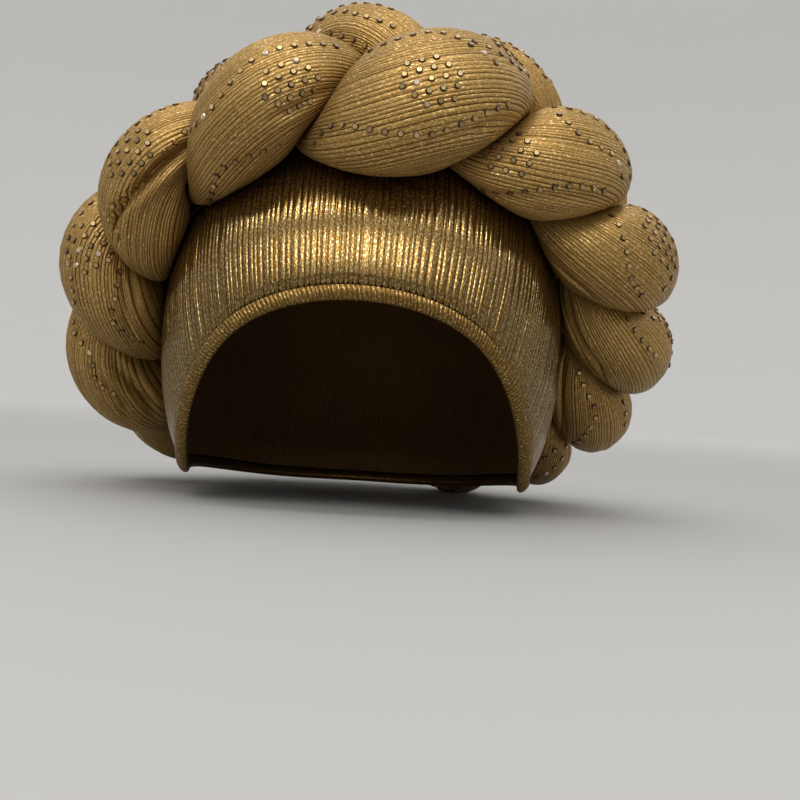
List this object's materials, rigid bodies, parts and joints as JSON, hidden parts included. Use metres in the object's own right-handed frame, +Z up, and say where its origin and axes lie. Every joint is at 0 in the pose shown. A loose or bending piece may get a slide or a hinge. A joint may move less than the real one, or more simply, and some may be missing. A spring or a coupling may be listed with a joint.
{
  "type": "tied gele head tie",
  "caption": "Ready-tied gele: a closed pleated stretch cap with a rolled hem and a thick stuffed plait standing round the crown.",
  "frame": {"origin": "mount head_seat: the highest point of the cap's inner face, where the crown of the wearer's head sits", "axes": "+Z up as worn, the face looks towards -Y, +X is the wearer's left"},
  "size_m": [0.2446, 0.2388, 0.1858],
  "materials": {
    "cap_cloth": "pleated old-gold metallic cloth, bright on the pleat crests",
    "hem_cloth": "the same pleated cloth rolled over at the edge, ribs across the roll",
    "plait_cloth": "pleated old-gold metallic cloth, satin, pleats along each strand",
    "smoky_stone": "small faceted flat-back stones, smoky topaz"
  },
  "bodies": {
    "root": {"head_cap": "cap_cloth", "rolled_hem": "hem_cloth", "plait_strand_1": "plait_cloth", "plait_strand_2": "plait_cloth", "plait_strand_3": "plait_cloth"}
  },
  "joints": []
}
